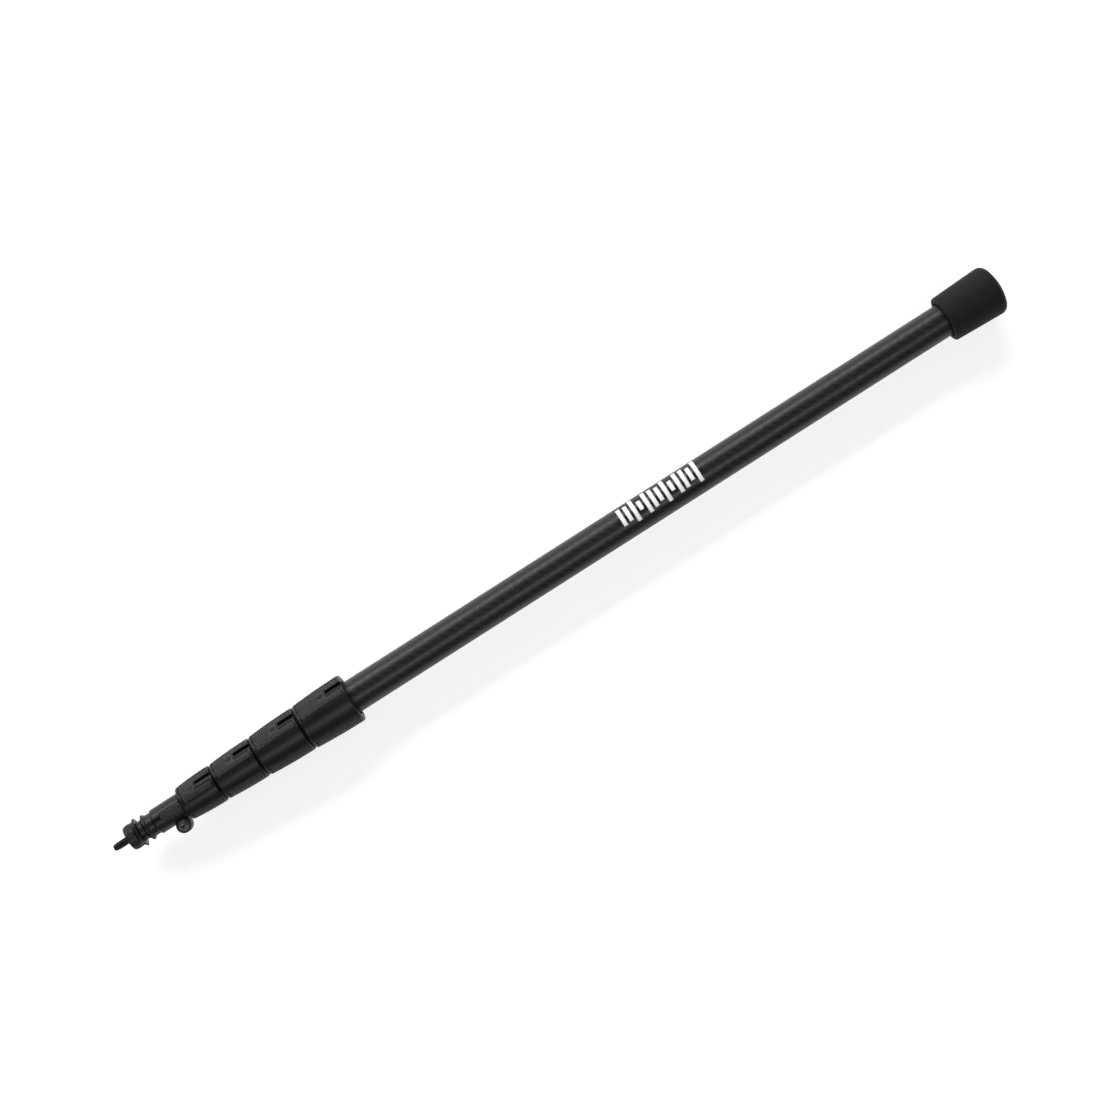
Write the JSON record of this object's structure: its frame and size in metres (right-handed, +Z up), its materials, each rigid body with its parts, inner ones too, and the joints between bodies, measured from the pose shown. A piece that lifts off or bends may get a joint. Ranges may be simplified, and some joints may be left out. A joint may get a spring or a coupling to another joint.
{
  "type": "telescopic boom pole",
  "caption": "Collapsed telescopic microphone boom pole with nested twist-lock collars, rubber butt cap and a threaded tip with a lock nut.",
  "frame": {"origin": "middle of the collapsed pole, on the surface it lies on", "axes": "+X towards the rubber butt, -X towards the threaded tip, +Z up"},
  "size_m": [0.81, 0.0408, 0.0408],
  "materials": {
    "carbon_tube": "satin woven carbon fibre, black",
    "collar_plastic": "black moulded plastic, fine texture",
    "pad_rubber": "matt black rubber with fine ribs",
    "cap_rubber": "matt black rubber",
    "black_alloy": "black anodised aluminium",
    "stud_steel": "blackened steel",
    "inner_plastic": "dark grey acetal",
    "label_film": "gloss black film with white bars"
  },
  "bodies": {
    "main_pole": {"main_tube": "carbon_tube", "label": "label_film", "ferrule_1": "inner_plastic", "collet_1": "inner_plastic", "end_cap": "cap_rubber", "base_plug": "inner_plastic", "bumper_ring": "pad_rubber"},
    "collar_1": {"collar_1": "collar_plastic", "grip_pad_1a": "pad_rubber", "grip_pad_1b": "pad_rubber", "grip_pad_1c": "pad_rubber"},
    "collar_2": {"collar_2": "collar_plastic", "grip_pad_2a": "pad_rubber", "grip_pad_2b": "pad_rubber", "grip_pad_2c": "pad_rubber"},
    "collar_3": {"collar_3": "collar_plastic", "grip_pad_3a": "pad_rubber", "grip_pad_3b": "pad_rubber", "grip_pad_3c": "pad_rubber"},
    "collar_4": {"collar_4": "collar_plastic", "grip_pad_4a": "pad_rubber", "grip_pad_4b": "pad_rubber", "grip_pad_4c": "pad_rubber"},
    "section_2": {"tube_2": "carbon_tube", "guide_2": "inner_plastic", "ferrule_2": "inner_plastic", "collet_2": "inner_plastic"},
    "section_3": {"tube_3": "carbon_tube", "guide_3": "inner_plastic", "ferrule_3": "inner_plastic", "collet_3": "inner_plastic"},
    "section_4": {"tube_4": "carbon_tube", "guide_4": "inner_plastic", "ferrule_4": "inner_plastic", "collet_4": "inner_plastic"},
    "section_5": {"tube_5": "carbon_tube", "guide_5": "inner_plastic", "tip_body": "black_alloy", "mic_stud": "stud_steel", "port_bung": "pad_rubber", "clamp_nut": "stud_steel"},
    "nut_slide": {"nut_washer": "black_alloy"},
    "lock_nut": {"lock_nut": "black_alloy"},
    "clamp_slide": {"clamp_washer": "stud_steel"},
    "clamp_screw": {"clamp_screw": "stud_steel"}
  },
  "joints": [
    {"name": "section_2_slide", "type": "slide", "parent": "main_pole", "child": "section_2", "axis": [-1, 0, 0], "range_m": [0, 0.5281]},
    {"name": "section_3_slide", "type": "slide", "parent": "section_2", "child": "section_3", "axis": [-1, 0, 0], "range_m": [0, 0.5453]},
    {"name": "section_4_slide", "type": "slide", "parent": "section_3", "child": "section_4", "axis": [-1, 0, 0], "range_m": [0, 0.5583]},
    {"name": "section_5_slide", "type": "slide", "parent": "section_4", "child": "section_5", "axis": [-1, 0, 0], "range_m": [0, 0.5668]},
    {"name": "collar_1_twist", "type": "hinge", "parent": "main_pole", "child": "collar_1", "pos_m": [-0.231, 0, 0.0204], "axis": [1, 0, 0], "range_deg": [0, 90]},
    {"name": "collar_2_twist", "type": "hinge", "parent": "section_2", "child": "collar_2", "pos_m": [-0.2722, 0, 0.0204], "axis": [1, 0, 0], "range_deg": [0, 90]},
    {"name": "collar_3_twist", "type": "hinge", "parent": "section_3", "child": "collar_3", "pos_m": [-0.3092, 0, 0.0204], "axis": [1, 0, 0], "range_deg": [0, 90]},
    {"name": "collar_4_twist", "type": "hinge", "parent": "section_4", "child": "collar_4", "pos_m": [-0.3412, 0, 0.0204], "axis": [1, 0, 0], "range_deg": [0, 90]},
    {"name": "lock_nut_run", "type": "slide", "parent": "section_5", "child": "nut_slide", "axis": [-1, 0, 0], "range_m": [0, 0.01016]},
    {"name": "lock_nut_spin", "type": "hinge", "parent": "nut_slide", "child": "lock_nut", "pos_m": [-0.3915, 0, 0.0204], "axis": [-1, 0, 0], "range_deg": [0, 2880]},
    {"name": "clamp_screw_lift", "type": "slide", "parent": "section_5", "child": "clamp_slide", "axis": [0, 0, 1], "range_m": [0, 0.0014]},
    {"name": "clamp_screw_turn", "type": "hinge", "parent": "clamp_slide", "child": "clamp_screw", "pos_m": [-0.3491, -0.0135, 0.0204], "axis": [0, 0, 1], "range_deg": [0, 720]}
  ],
  "couplings": [
    {"joint": "lock_nut_run", "follows": "lock_nut_spin", "m_per_rad": 0.00020213},
    {"joint": "clamp_screw_lift", "follows": "clamp_screw_turn", "m_per_rad": 0.00011141}
  ]
}
